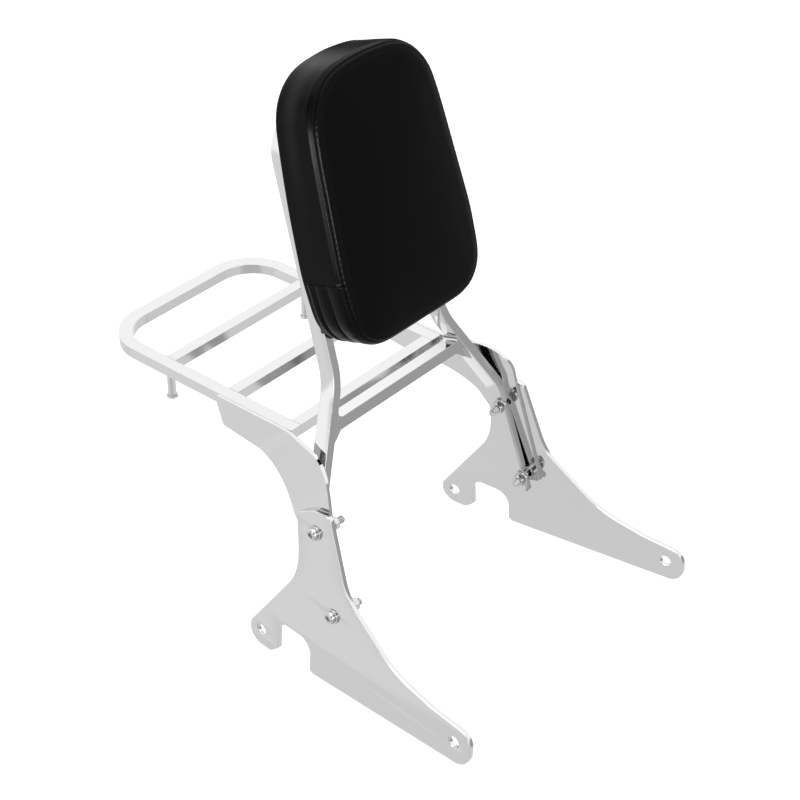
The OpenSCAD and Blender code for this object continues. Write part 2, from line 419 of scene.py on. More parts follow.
@dataclass(frozen=True)
class ChromePlate:
    """Bright chrome over polished steel bar and sheet.

    Made by buffing, nickel and a thin chrome flash, which gives the eye a neutral mirror with a faint
    long waviness from the buffing wheel and softly rounded, brighter edges.
    """

    name: str = "chrome_plated_steel"
    colour: str = "CFCFCF"
    roughness: float = 0.06
    roughness_spread: float = 0.05
    edge_mm: float = 0.7
    wave_mm: float = 38.0
    wave_height_mm: float = 0.010
    haze_mm: float = 0.9

    def make(self) -> bpy.types.Material:
        """Builds the node material.

        Returns:
            The material: metal, with noise on the roughness and a long low wave in the bump.
        """
        material = empty_material(self.name)
        tree = material.node_tree
        coords = add_node(tree, "ShaderNodeTexCoord").outputs["Object"]
        wave = add_node(
            tree, "ShaderNodeTexNoise",
            {"Scale": 1 / (self.wave_mm * MM), "Detail": 2.0, "Roughness": 0.4},
            {"Vector": coords},
        )
        haze = add_node(
            tree, "ShaderNodeTexNoise",
            {"Scale": 1 / (self.haze_mm * MM), "Detail": 3.0, "Roughness": 0.6},
            {"Vector": coords},
        )
        rough = add_node(
            tree, "ShaderNodeMapRange",
            {"To Min": self.roughness, "To Max": self.roughness + self.roughness_spread},
            {"Value": haze.outputs["Fac"]},
        )
        edge = add_node(tree, "ShaderNodeBevel", {"samples": 4, "Radius": self.edge_mm * MM})
        bump = add_node(
            tree, "ShaderNodeBump",
            {"Strength": 1.0, "Distance": self.wave_height_mm * MM},
            {"Height": wave.outputs["Fac"], "Normal": edge.outputs["Normal"]},
        )
        shader = add_node(
            tree, "ShaderNodeBsdfPrincipled",
            {"Base Color": linear(self.colour), "Metallic": 1.0},
            {"Roughness": rough.outputs["Result"], "Normal": bump.outputs["Normal"]},
        )
        add_node(tree, "ShaderNodeOutputMaterial", links={"Surface": shader.outputs["BSDF"]})
        return material


@dataclass(frozen=True)
class CoatedSolid:
    """A dark coated or moulded surface: powder coat on steel, or moulded board.

    Powder melts into a skin with a fine orange-peel texture; moulded board has a spark-eroded grain.
    """

    name: str
    colour: str
    roughness: float
    grain_mm: float
    grain_height_mm: float
    smoother: float = 0.05
    rougher: float = 0.08

    def make(self) -> bpy.types.Material:
        """Builds the node material.

        Returns:
            The material: a dark dielectric with a fine noise grain in the bump.
        """
        material = empty_material(self.name)
        tree = material.node_tree
        coords = add_node(tree, "ShaderNodeTexCoord").outputs["Object"]
        grain = add_node(
            tree, "ShaderNodeTexNoise",
            {"Scale": 1 / (self.grain_mm * MM), "Detail": 3.0, "Roughness": 0.55},
            {"Vector": coords},
        )
        rough = add_node(
            tree, "ShaderNodeMapRange",
            {"To Min": self.roughness - self.smoother, "To Max": self.roughness + self.rougher},
            {"Value": grain.outputs["Fac"]},
        )
        bump = add_node(
            tree, "ShaderNodeBump",
            {"Strength": 0.6, "Distance": self.grain_height_mm * MM},
            {"Height": grain.outputs["Fac"]},
        )
        shader = add_node(
            tree, "ShaderNodeBsdfPrincipled",
            {"Base Color": linear(self.colour)},
            {"Roughness": rough.outputs["Result"], "Normal": bump.outputs["Normal"]},
        )
        add_node(tree, "ShaderNodeOutputMaterial", links={"Surface": shader.outputs["BSDF"]})
        return material


@dataclass(frozen=True)
class PadVinyl:
    """Black upholstery vinyl, cast on knitted cloth and embossed with a fine leather grain.

    The cast skin gives a soft satin highlight; the grain's cells are about 1 mm and only break up the
    highlight's edge. Slow changes in the roughness come from handling.
    """

    name: str = "embossed_black_vinyl"
    colour: str = "050505"
    roughness: float = 0.27
    smoother: float = 0.05
    rougher: float = 0.06
    specular_level: float = 0.14
    refraction: float = 1.30
    cell_mm: float = 1.1
    cell_height_mm: float = 0.045
    pores_per_cell: float = 4.0
    pore_share: float = 0.25
    handling_mm: float = 60.0

    def make(self) -> bpy.types.Material:
        """Builds the node material.

        Returns:
            The material: cells for the grain, noise for pores and a slow change of the roughness.
        """
        material = empty_material(self.name)
        tree = material.node_tree
        coords = add_node(tree, "ShaderNodeTexCoord").outputs["Object"]
        cells = add_node(
            tree, "ShaderNodeTexVoronoi",
            {"feature": "SMOOTH_F1", "Scale": 1 / (self.cell_mm * MM), "Smoothness": 0.6},
            {"Vector": coords},
        )
        pores = add_node(
            tree, "ShaderNodeTexNoise",
            {"Scale": self.pores_per_cell / (self.cell_mm * MM), "Detail": 2.0},
            {"Vector": coords},
        )
        height = add_node(
            tree, "ShaderNodeMath",
            {"operation": "MULTIPLY_ADD", 1: self.pore_share},
            {0: pores.outputs["Fac"], 2: cells.outputs["Distance"]},
        )
        wear = add_node(
            tree, "ShaderNodeTexNoise",
            {"Scale": 1 / (self.handling_mm * MM), "Detail": 2.0},
            {"Vector": coords},
        )
        rough = add_node(
            tree, "ShaderNodeMapRange",
            {"To Min": self.roughness - self.smoother, "To Max": self.roughness + self.rougher},
            {"Value": wear.outputs["Fac"]},
        )
        bump = add_node(
            tree, "ShaderNodeBump",
            {"Strength": 0.5, "Distance": self.cell_height_mm * MM},
            {"Height": height.outputs["Value"]},
        )
        shader = add_node(
            tree, "ShaderNodeBsdfPrincipled",
            {
                "Base Color": linear(self.colour), "Specular IOR Level": self.specular_level,
                "IOR": self.refraction,
            },
            {"Roughness": rough.outputs["Result"], "Normal": bump.outputs["Normal"]},
        )
        add_node(tree, "ShaderNodeOutputMaterial", links={"Surface": shader.outputs["BSDF"]})
        return material


@dataclass(frozen=True)
class Finishes:
    """The finished materials, one for each slot of the record."""

    chrome: bpy.types.Material
    hardware: bpy.types.Material
    vinyl: bpy.types.Material
    board: bpy.types.Material
    black_steel: bpy.types.Material

    def of(self, slot: Slot) -> bpy.types.Material:
        """Gives the material of a slot."""
        return getattr(self, slot.value)


def make_finishes() -> Finishes:
    """Makes every material once."""
    return Finishes(
        chrome=ChromePlate().make(),
        hardware=ChromePlate(
            name="zinc_plated_fasteners", colour="C4C4C5", roughness=0.12, roughness_spread=0.1,
            edge_mm=0.25, wave_mm=9.0, wave_height_mm=0.004, haze_mm=0.4,
        ).make(),
        vinyl=PadVinyl().make(),
        board=CoatedSolid("moulded_black_board", "161617", 0.55, 0.8, 0.05).make(),
        black_steel=CoatedSolid("powder_coated_black_steel", "121213", 0.42, 0.9, 0.03).make(),
    )


def hand_over(piece: bpy.types.Object, slot: Slot, finishes: Finishes, node: str) -> None:
    """Dresses a new piece, puts it on the body and names the CAD node that it stands for.

    Args:
        piece: the finished piece.
        slot: its material slot in the record.
        finishes: the materials.
        node: the CAD node that it replaces.
    """
    piece.data.materials.clear()
    piece.data.materials.append(finishes.of(slot))
    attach(piece, "root")
    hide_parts(node)
    log.info("made %s: %d vertices, stands for %s", piece.name, len(piece.data.vertices), node)


def hand_over_set(
    name: str, pieces: list[bpy.types.Object], finishes: Finishes, node: str, crease: float = TURNED_CREASE
) -> None:
    """Joins small pieces of hardware into one piece and hands it over.

    Args:
        name: name of the joined piece.
        pieces: the single pieces.
        finishes: the materials.
        node: the CAD node that they replace together.
        crease: edges whose faces meet at more degrees than this stay sharp.
    """
    whole = join(name, pieces)
    sharpen(whole, crease)
    hand_over(whole, Slot.HARDWARE, finishes, node)


@dataclass
class SteelWork:
    """The rigid nodes that keep their CAD shapes and only get their finish, by material slot."""

    chrome: tuple[str, ...] = (
        "upright_crossbar", "rack_rail", "rack_slat_rear", "rack_slat_middle", "rack_slat_front",
        "rack_arm_right", "rack_arm_left", "rack_posts",
    )
    hardware: tuple[str, ...] = ("spacers_lower",)
    black_steel: tuple[str, ...] = ("pad_straps",)
    board: tuple[str, ...] = ("pad_board",)

    def dress_nodes(self, finishes: Finishes) -> None:
        """Assigns each node's material to its object's slots.

        Args:
            finishes: the materials.
        """
        for slot in (Slot.CHROME, Slot.HARDWARE, Slot.BLACK_STEEL, Slot.BOARD):
            for name in getattr(self, slot.value):
                node = frame["nodes"][name]
                if not node.material_slots:
                    node.data.materials.append(finishes.of(slot))
                for place in node.material_slots:
                    place.material = finishes.of(slot)
                log.info("dressed %s as %s", name, slot.value)


@dataclass
class SidePlates:
    """The two splayed side plates, cut from sheet with their edges eased before plating."""

    half_width: float = 168.0
    toe: float = 4.56
    flare: float = 4.35
    thickness: float = 6.0
    edge_radius: float = 0.7
    corners: tuple[Triple, ...] = (
        (-49.5, 181, 4), (-72, 194.6, 22), (-96.8, 199.4, 9), (-126.2, 113.5, 60), (-197, 61, 110),
        (-252, 50.5, 0), (-306, 46.5, 16), (-306, 5.2, 20), (-81.5, -10.8, 3), (-76.5, -8, 3),
        (-76.5, 28.2, 17), (-27.2, 28.2, 13), (-27.2, -9, 3), (-15.5, -19.4, 10), (17.5, -19.4, 18),
        (17.5, 3.5, 14), (-53.6, 105, 75), (-53.6, 140, 200),
    )
    mount_holes: tuple[Triple, ...] = ((0.0, 0.0, 6.8), (-284.0, 28.1, 6.8))
    bolt_places: tuple[tuple[float, float], ...] = ((-77.5, 170.0), (-107.5, 81.5))
    bolt_hole_r: float = 4.3

    def matrix(self) -> Matrix:
        """Gives the frame of the plate at +X, in mm: X is its outward normal, Y its length, Z its height."""
        return (
            Matrix.Translation((self.half_width, 0, 0))
            @ Matrix.Rotation(math.radians(self.toe), 4, "Z")
            @ Matrix.Rotation(math.radians(-self.flare), 4, "Y")
        )

    def axes(self) -> np.ndarray:
        """Gives the plate's axes as columns: its normal, its length and its height."""
        return np.array(self.matrix())[:3, :3]

    def to_world(self, local: np.ndarray, side: int) -> np.ndarray:
        """Takes points of a plate's frame to the model's, in mm; side -1 is the mirror image."""
        return (local @ self.axes().T + [self.half_width, 0, 0]) * [side, 1, 1]

    def to_local(self, world: np.ndarray, side: int) -> np.ndarray:
        """Takes points of the model's frame to a plate's, in mm; side -1 is the mirror image."""
        return (world * [side, 1, 1] - [self.half_width, 0, 0]) @ self.axes()

    def build(self, finishes: Finishes) -> None:
        """Builds both plates; depth runs inwards from the outer face.

        Args:
            finishes: the materials.
        """
        edge = rounded_outline(list(self.corners))
        holes = [*self.mount_holes, *((y, z, self.bolt_hole_r) for y, z in self.bolt_places)]
        for side, name in zip(SIDES, ("right", "left")):
            piece = flat_part(f"side_plate_{name}_eased", edge, holes, self.thickness, self.edge_radius)
            flat = read_points(piece.data)
            local = np.column_stack([flat[:, 2] - self.thickness / 2, flat[:, 0], flat[:, 1]])
            set_points(piece, self.to_world(local, side) * MM, flip=side < 0)
            hand_over(piece, Slot.CHROME, finishes, f"side_plate_{name}")


@dataclass
class LeanFrame:
    """Frame on the upright's front plane: x across, u up the lean and w to the rear, all in mm."""

    lean: float = 16.7
    y0: float = -38.2
    z0: float = 320.0

    def to_world(self, points: np.ndarray) -> np.ndarray:
        """Takes points to the model's frame: y is y0 + u sin + w cos, z is z0 + u cos - w sin of the lean.

        Args:
            points: places [x, u, w] in mm, in an array of any shape by 3.

        Returns:
            Their places [x, y, z] in metres.
        """
        s, c = math.sin(math.radians(self.lean)), math.cos(math.radians(self.lean))
        x, u, w = points[..., 0], points[..., 1], points[..., 2]
        return np.stack([x, self.y0 + u * s + w * c, self.z0 + u * c - w * s], axis=-1) * MM


@dataclass
class Upright:
    """The upright: one flat bar bent on edge to a loop with splayed legs, pressed flat under the arms.

    The outer corners run from a leg's foot over the knee and the waist to the top bend; the waist is
    the one bend that turns outwards.
    """

    lean: LeanFrame
    plates: SidePlates
    outer: tuple[Triple, ...] = ((158, -270, 0), (151, -132.8, 45), (89.3, -19.7, 70), (78.4, 251, 42))
    waist: int = 2
    bar: float = 10.6
    depth: float = 19.5
    edge_radius: float = 0.8
    outline_step: float = 5.0
    seat_depth: float = 10.0
    seat_height: float = 230.0
    seat_front: float = -200.0

    def inner(self) -> list[Triple]:
        """Moves every corner in along its bisector by the bar's thickness; bends inside get smaller radii.

        Returns:
            The inner corners of one side, from the foot up, each with its radius.
        """
        pts = [np.array(c[:2], dtype=float) for c in self.outer]
        pts = pts + [pts[-1] * [-1, 1]]
        moved = []
        for i in range(1, len(self.outer)):
            a, b = (pts[i - 1] - pts[i]), (pts[i + 1] - pts[i])
            a, b = a / np.linalg.norm(a), b / np.linalg.norm(b)
            half = math.acos(float(np.clip(a @ b, -1, 1))) / 2
            inward = (a + b) / np.linalg.norm(a + b)
            sign = -1 if i == self.waist else 1
            radius = self.outer[i][2] - sign * self.bar
            moved.append((*(pts[i] + inward * sign * self.bar / math.sin(half)), radius))
        leg = (pts[0] - pts[1]) / np.linalg.norm(pts[0] - pts[1])
        foot = pts[0] + np.array([leg[1], -leg[0]]) * self.bar
        return [(*foot, 0.0)] + moved

    def build(self, finishes: Finishes) -> None:
        """Builds the loop as one bevelled bar and presses the arms' seats flat.

        Args:
            finishes: the materials.
        """
        outer = list(self.outer) + [(-x, u, r) for x, u, r in self.outer[::-1]]
        inner = self.inner()
        ring = rounded_outline(outer + [(-x, u, r) for x, u, r in inner] + inner[::-1], self.outline_step)
        piece = flat_part("upright_bar", ring, [], self.depth, self.edge_radius)
        flat = read_points(piece.data)
        bar = np.column_stack([flat[:, 0], flat[:, 1], flat[:, 2] + self.depth / 2])
        world = self.lean.to_world(bar) / MM
        for side in SIDES:
            local = self.plates.to_local(world, side)
            depth, front, height = local.T
            over = (depth > -self.seat_depth) & (height > 0) & (height < self.seat_height)
            local[over & (front > self.seat_front), 0] = -self.seat_depth
            world = self.plates.to_world(local, side)
        set_points(piece, world * MM, flip=True)
        face_out(piece.data)
        hand_over(piece, Slot.CHROME, finishes, "upright_loop")


@dataclass
class SideJoint:
    """Bolts, nuts and washers of the side joints, along the normals of the splayed side plates.

    The depths and the threads' ends are those of the upper and the lower bolts. A depth is that of
    the nut's seat below the plate's outer face, and an end is what stands out of the nut.
    """

    plates: SidePlates
    depths: tuple[float, float] = (22.5, 27.0)
    ends: tuple[float, float] = (10.0, 6.0)
    shank_r: float = 4.0
    head_r: float = 6.7
    head_h: float = 5.4
    head_side: float = 1.6
    socket_r: float = 2.9
    socket_depth: float = 3.0
    drill_point: float = 0.8
    washer_t: float = 1.6
    inner_washer_t: float = 3.0
    washer_r: float = 8.5
    washer_edge: float = 0.35
    nut_r: float = 7.4
    nut_h: float = 6.5
    pitch: float = 1.25
    thread_length: float = 22.0
    thread_depth: float = 0.72
    run_out: float = 1.5
    columns: int = 48

    def turn(self) -> np.ndarray:
        """Gives the angle of each column round the axis."""
        return np.linspace(0, TURN, self.columns, endpoint=False)

    def hexagon(self, flat_r: float) -> np.ndarray:
        """Gives a hexagon's radius at each column: flat_r over cos of the angle from a flat's middle."""
        return flat_r / np.cos(np.mod(self.turn(), math.pi / 3) - math.pi / 6)

    def place(self, side: int, at: tuple[float, float]) -> Matrix:
        """Gives the frame of a bolt: local Z is the plate's outward normal, the origin on its outer face.

        Args:
            side: 1 for the side of +X, -1 for the other, which is the mirror image.
            at: the bolt's place in the plate's own plane, in mm.

        Returns:
            A matrix in mm that keeps right-handed threads right-handed.
        """
        on_plate = Matrix.Translation((0, at[0], at[1])) @ Matrix.Rotation(math.radians(90), 4, "Y")
        bolt = self.plates.matrix() @ on_plate
        if side > 0:
            return bolt
        return Matrix.Diagonal((-1, 1, 1, 1)) @ bolt @ Matrix.Diagonal((1, -1, 1, 1))

    def fit(
        self, points: np.ndarray, side: int, at: tuple[float, float], closed_rows: bool = True
    ) -> bpy.types.Object:
        """Makes one piece from a grid of points in a bolt's frame, in its place on the model.

        Args:
            points: rows by columns by 3, in mm.
            side: 1 for the side of +X, -1 for the other.
            at: the bolt's place in the plate's own plane, in mm.
            closed_rows: joins the last row to the first, as on a ring.

        Returns:
            The new object.
        """
        m = np.array(self.place(side, at))
        return grid_piece("fitted", (points @ m[:3, :3].T + m[:3, 3]) * MM, closed_rows)

    def bolt_points(self, reach: float) -> np.ndarray:
        """Gives a socket-head bolt as one grid: a profile of radius and height carried round the axis.

        On the thread the radius adds a wave in height over pitch less turn, which climbs one pitch in
        each turn and fades out at both ends.

        Args:
            reach: depth of the bolt's end below the plate's outer face, in mm.

        Returns:
            Rows by columns by 3, in mm, from the socket's floor to the end of the thread.
        """
        socket, mouth = self.hexagon(self.socket_r), self.socket_r * 1.3
        base, top = self.washer_t, self.washer_t + self.head_h
        rows = [(0.0, top - self.socket_depth - self.drill_point), (socket * 0.95, top - self.socket_depth)]
        rows += [(socket, top - h) for h in np.linspace(self.socket_depth, 0.45, 5)]
        rows += [(np.maximum(socket, self.socket_r * 1.16), top - 0.05), (mouth, top)]
        for drop in np.linspace(0.12, 1, 9) * math.pi / 2:
            radius = mouth + (self.head_r - mouth) * math.sin(drop) ** 0.9
            rows.append((radius, base + self.head_side + (self.head_h - self.head_side) * math.cos(drop)))
        rows += [
            (self.head_r, base + 0.4), (self.head_r - 0.3, base),
            (self.shank_r + 0.05, base), (self.shank_r, base - 0.4),
        ]
        start = self.thread_length - reach
        rows.append((self.shank_r, start + self.run_out))
        for h in np.arange(start, -reach + 0.9, -self.pitch / 6):
            wave = 0.5 + 0.5 * np.cos(TURN * h / self.pitch - self.turn())
            fade = min(1.0, (start - h) / self.run_out + 0.2, (h + reach) / 1.2)
            rows.append((self.shank_r - self.thread_depth * (1 - wave) * fade, h))
        rows += [(self.shank_r - 0.9, -reach), (0.0, -reach)]
        return carry_round(rows, self.columns)

    def nut_points(self, depth: float) -> np.ndarray:
        """Gives a hexagon nut as a closed ring, chamfered by a cone at both faces, and its bore.

        Args:
            depth: depth of the nut's outer seat below the plate's outer face, in mm.

        Returns:
            Rows by columns by 3, in mm, closed along the rows too.
        """
        hexagon, cone = self.hexagon(self.nut_r * math.cos(math.pi / 6)), self.nut_r * 0.9
        face = [
            (self.shank_r - 0.35, 0.6), (self.shank_r + 0.25, 0.0), (cone * 0.97, 0.0),
            (np.minimum(hexagon, cone), 0.05), (np.minimum(hexagon, cone + 0.45), 0.3), (hexagon, 0.75),
        ]
        top, low = -depth, -depth - self.nut_h
        rows = [(r, top - h) for r, h in face] + [(r, low + h) for r, h in face[::-1]]
        return carry_round(rows, self.columns)

    def washer_points(self, low: float, high: float) -> np.ndarray:
        """Gives a punched washer with rolled edges as a closed ring between two heights, in mm.

        Args:
            low: height of the face that looks inwards.
            high: height of the face that looks outwards.

        Returns:
            Rows by columns by 3, in mm, closed along the rows too.
        """
        inner, outer, edge = self.shank_r + 0.3, self.washer_r, self.washer_edge
        profile = [
            (inner, low + edge), (inner, high - edge), (inner + edge, high), (outer - edge, high),
            (outer - 0.3 * edge, high - 0.3 * edge), (outer, high - edge), (outer, low + edge),
            (outer - 0.3 * edge, low + 0.3 * edge), (outer - edge, low), (inner + edge, low),
        ]
        return carry_round(profile, self.columns)

    def build(self, finishes: Finishes) -> None:
        """Builds both pairs of bolts, the four nuts and the washers at both ends.

        An inner washer's taper disappears against the slanted leg, so its ring dips a little into it.

        Args:
            finishes: the materials.
        """
        joints = list(zip(self.plates.bolt_places, self.depths))
        for name, (at, depth), end in zip(("upper", "lower"), joints, self.ends):
            points = self.bolt_points(depth + self.nut_h + end)
            bolts = [self.fit(points, side, at, closed_rows=False) for side in SIDES]
            hand_over_set(f"bolt_pair_{name}", bolts, finishes, f"bolts_{name}")
        nuts = [self.fit(self.nut_points(depth), side, at) for side in SIDES for at, depth in joints]
        hand_over_set("hexagon_nuts", nuts, finishes, "nuts", NUT_CREASE)
        for name, node, spans in (
            ("outer_washer_rings", "washers_outer", [(0.0, self.washer_t)] * len(joints)),
            ("inner_washer_rings", "washers_inner", [(-d, -d + self.inner_washer_t) for d in self.depths]),
        ):
            rings = [
                self.fit(self.washer_points(*span), side, at)
                for side in SIDES
                for (at, _), span in zip(joints, spans)
            ]
            hand_over_set(name, rings, finishes, node)


@dataclass
class Cushion:
    """The padded cushion: a domed front panel sewn at a welt to a deep gusset, with a pleated lower gusset.

    In the pad's frame x runs across, u up and t from the back to the front. half lists the corners of
    one side from the bottom up, each with its radius.
    """

    frame: LeanFrame
    half: tuple[Triple, ...] = (
        (97.0, 16.5, 45.0), (101.5, 100.0, 140.0), (93.0, 215.0, 120.0), (84.0, 291.0, 60.0),
    )
    crown: Triple = (0.0, 300.0, 260.0)
    centre_u: float = 150.0
    back: float = -8.0
    back_taper: float = 3.2
    lip_t: float = 4.8
    lip_inset: float = 4.8
    lip_roll: float = 2.4
    welt_t: float = 48.5
    welt_inset: float = 2.2
    welt_turn: float = 7.0
    shoulder: float = 4.2
    shoulder_run: float = 4.5
    dome: float = 4.0
    cross_seam_u: float = 94.5
    pleats: tuple[float, float] = (9.5, 27.5)
    welt_depth: float = 2.2
    pucker_run: float = 6.3
    pucker_height: float = 0.13
    band_height: float = 1.5
    pleat_depth: float = 1.3
    fold_height: float = 0.55
    fold_depth: float = 1.1
    arc_points: int = 30
    even_points: int = 1700
    soften: int = 45
    coarse_step: float = 6.0
    column_step: float = 1.6
    fine_step: float = 0.5
    row_step: float = 1.7
    seam_steps: tuple[float, ...] = (0.2, 0.45, 0.75, 1.1, 1.5, 2.0, 2.6)
    start_inset: float = 2.5
    voxel_mm: float = 5.0
    pin_reach: float = 6.0
    pressure: float = 4.0
    frames: int = 20
    cap_mm: float = 7.0
    neighbours: int = 24
    bell_mm: float = 9.0
    swell_share: float = 0.6
    welt_fade: float = 6.0
    back_fade: float = 8.0

    def outline(self, fine: bool) -> tuple[np.ndarray, np.ndarray]:
        """Gives the pad's closed outline and its outward normals, by arc length.

        The corners are arcs. The curve is sampled evenly, its steps finer beside the cross seams, and
        smoothed by a short moving average so that the curvature changes softly.

        Args:
            fine: the final spacing; otherwise a coarse one for the simulation's start.

        Returns:
            Points [x, u] in mm and unit normals.
        """
        corners = [(-x, u, r) for x, u, r in self.half] + [self.crown] + list(self.half[::-1])
        pts = [np.array(c[:2]) for c in corners]
        arcs = [
            corner_arc(pts[i - 1], pts[i], pts[(i + 1) % len(pts)], corners[i][2], self.arc_points)
            for i in range(len(pts))
        ]
        dense = np.vstack([*arcs, arcs[0][:1]])
        run = np.r_[0, np.cumsum(np.hypot(*np.diff(dense, axis=0).T))]
        curve = interpolate(np.linspace(0, run[-1], self.even_points, endpoint=False), run, dense)
        window = np.hanning(2 * self.soften + 3)
        window = window[1:-1] / window.sum()
        padded = np.vstack([curve[-self.soften :], curve, curve[: self.soften]])
        curve = np.column_stack([np.convolve(padded[:, k], window, "valid") for k in range(2)])
        density = np.full(len(curve), 1 / (self.column_step if fine else self.coarse_step))
        if fine:
            near = np.abs(curve[:, 1] - self.cross_seam_u)
            density = np.maximum(density, (1 / self.fine_step) * smooth_step((7 - near) / 4))
        count = np.r_[0, np.cumsum(density * (run[-1] / self.even_points))]
        total = int(round(count[-1] / 4)) * 4
        places = np.arange(len(curve) + 1)
        where = np.interp(np.linspace(0, count[-1], total, endpoint=False), count, places)
        closed = np.vstack([curve, curve[:1]])
        pick = interpolate(where, places, closed)
        ahead, behind = (interpolate(np.mod(where + d, len(curve)), places, closed) for d in (2, -2))
        along = ahead - behind
        along /= np.linalg.norm(along, axis=1, keepdims=True)
        normal = np.column_stack([along[:, 1], -along[:, 0]])
        if ((pick - pick.mean(0)) * normal).sum() < 0:
            normal = -normal
        return pick, normal

    def gusset_depths(self) -> list[float]:
        """Lists the fine rows' depths on the gusset, closer together beside the seams.

        Returns:
            Depths t from the back to the welt, in mm.
        """
        before = [-5, -3.6] + [-d for d in self.seam_steps[::-1]] + [0]
        depths = [-0.5, 1.5, 4.0]
        for seam in (*self.pleats, self.welt_t):
            near = [seam + d for d in before]
            gap = near[0] - depths[-1]
            between = np.linspace(0, 1, max(2, int(gap / self.row_step)) + 1)[1:-1]
            depths += [depths[-1] + gap * k for k in between] + near
            if seam != self.welt_t:
                depths += [seam + d for d in (*self.seam_steps, 3.6)]
        return depths

    def rows(self, fine: bool) -> list[Triple]:
        """Lists the rows of the plain skin, without seams, from the middle of the back to the welt.

        Args:
            fine: the final spacing; otherwise a coarse one for the simulation's start.

        Returns:
            For each row its depth t from the back and its inset from the outline, both in mm, and its
            share rho of the way from the centre to the outline.
        """
        roll = self.lip_roll
        out = [(0.0, self.lip_inset, rho) for rho in (0.0, 0.3, 0.6, 0.85, 0.96, 1.0)]
        if fine:
            out += [(-1.0, self.lip_inset, 1.0)]
            out += [
                (roll - self.lip_t - roll * math.sin(a), roll + roll * math.cos(a), 1.0)
                for a in np.linspace(0, math.pi, 9)
            ]
            depths = self.gusset_depths()
        else:
            out += [(3 - 3 * math.cos(a), 3 - 3 * math.sin(a), 1.0) for a in np.linspace(0, math.pi / 2, 3)]
            depths = list(np.linspace(6, self.welt_t, 9))
        for t in depths:
            turn = smooth_step((t - (self.welt_t - self.welt_turn)) / self.welt_turn)
            out.append((float(t), float(self.welt_inset * turn), 1.0))
        return out

    def skin(self, fine: bool) -> tuple[np.ndarray, np.ndarray]:
        """Builds the plain skin: offset outlines up the gusset, then the domed front towards its centre.

        Front panel: at a distance d inside the welt the height is welt_t plus the shoulder,
        shoulder (1 - e^(-d / shoulder_run)), plus the dome, dome times one less rho squared. Its rings
        keep their distance from the welt at first and then shrink towards the centre.

        Args:
            fine: the final spacing; otherwise a coarse one for the simulation's start.

        Returns:
            Points [x, u, t] as rows by columns by 3, and the distance from the welt, which is negative
            on the gusset.
        """
        edge, normal = self.outline(fine)
        centre = np.array([0.0, self.centre_u])
        points, away = [], []
        narrow = smooth_step((edge[:, 1:] - 150) / 100) * np.abs(normal[:, :1])
        for t, inset, rho in self.rows(fine):
            taper = self.back_taper * narrow * (1 - smooth_step((t - 4) / 26))
            ring = centre + (edge - normal * (inset + taper) - centre) * rho
            points.append(np.column_stack([ring, np.full(len(ring), t)]))
            away.append(np.full(len(ring), t - self.welt_t))
        base = edge - normal * self.welt_inset
        span = np.linalg.norm(base - centre, axis=1)
        if fine:
            steps = [*self.seam_steps, 3.4, 4.4, 5.6, 7.0, 8.6, 10.6, 13, 16, 20, 25, 31]
        else:
            steps = [3.0, 7.0, 14.0, 24.0]
        for k in [d / 100 for d in steps] + [float(k) for k in np.linspace(0.4, 1.0, 16 if fine else 5)]:
            offset = base - normal * (k * 100)
            shrunk = centre + (base - centre) * (1 - k)
            blend = smooth_step((k - 0.12) / 0.24)
            if k < 0.12:
                ring = offset
            elif k < 0.36:
                ring = offset * (1 - blend) + shrunk * blend
            else:
                ring = shrunk
            d = np.linalg.norm(ring - base, axis=1)
            rise = self.shoulder * (1 - np.exp(-d / self.shoulder_run))
            height = self.welt_t + rise + self.dome * (1 - (1 - d / span) ** 2)
            points.append(np.column_stack([ring, height]))
            away.append(d)
        return np.array(points), np.array(away)

    def normals(self, points: np.ndarray) -> np.ndarray:
        """Gives unit normals of a grid from its two differences, turned away from its middle.

        Args:
            points: the grid, rows by columns by 3.

        Returns:
            A normal for each point.
        """
        down = np.gradient(points, axis=0)
        across = np.roll(points, -1, 1) - np.roll(points, 1, 1)
        normal = np.cross(down, across)
        size = np.linalg.norm(normal, axis=-1, keepdims=True)
        normal = normal / np.maximum(size, 1e-9)
        middle = points.reshape(-1, 3).mean(0)
        if (normal * (points - middle)).sum() < 0:
            normal = -normal
        return normal

    def make_cloth(self) -> tuple[bpy.types.Object, np.ndarray]:
        """Makes the coarse copy that is blown up: a little smaller, and remeshed in voxels.

        Returns:
            The object and the places of its points in mm.
        """
        coarse, _ = self.skin(False)
        start = coarse - self.normals(coarse) * self.start_inset
        start[0], start[-1] = coarse[0].mean(0), coarse[-1].mean(0) - [0, 0, self.start_inset]
        proxy = grid_piece("cushion_start", start * MM)
        remesh = proxy.modifiers.new("voxels", "REMESH")
        remesh.mode = "VOXEL"
        remesh.voxel_size = self.voxel_mm * MM
        depsgraph = bpy.context.evaluated_depsgraph_get()
        mesh = bpy.data.meshes.new_from_object(proxy.evaluated_get(depsgraph))
        bpy.data.objects.remove(proxy)
        return put("cushion_cloth", mesh), read_points(mesh) / MM

    def pin(self, cloth: bpy.types.Object, rest: np.ndarray) -> str:
        """Holds the cloth along the welt and on the back, in four steps of weight.

        Args:
            cloth: the object.
            rest: the places of its points in mm.

        Returns:
            The name of the vertex group.
        """
        edge, normal = self.outline(False)
        rim = edge - normal * (self.welt_inset + self.start_inset)
        depth = np.full(len(rim), self.welt_t - self.start_inset / 2)
        tree = search_tree(np.column_stack([rim, depth]))
        to_welt = np.array([tree.find(p)[2] for p in rest])
        on_back = (rest[:, 2] < self.start_inset + 1.5).astype(float)
        hold = np.maximum(np.clip(1.2 - to_welt / self.pin_reach, 0, 1), on_back)
        group = cloth.vertex_groups.new(name="held")
        for weight in (0.25, 0.5, 0.75, 1.0):
            chosen = np.nonzero((hold > weight - 0.25) & (hold <= weight))[0]
            group.add(chosen.tolist(), weight, "REPLACE")
        return group.name

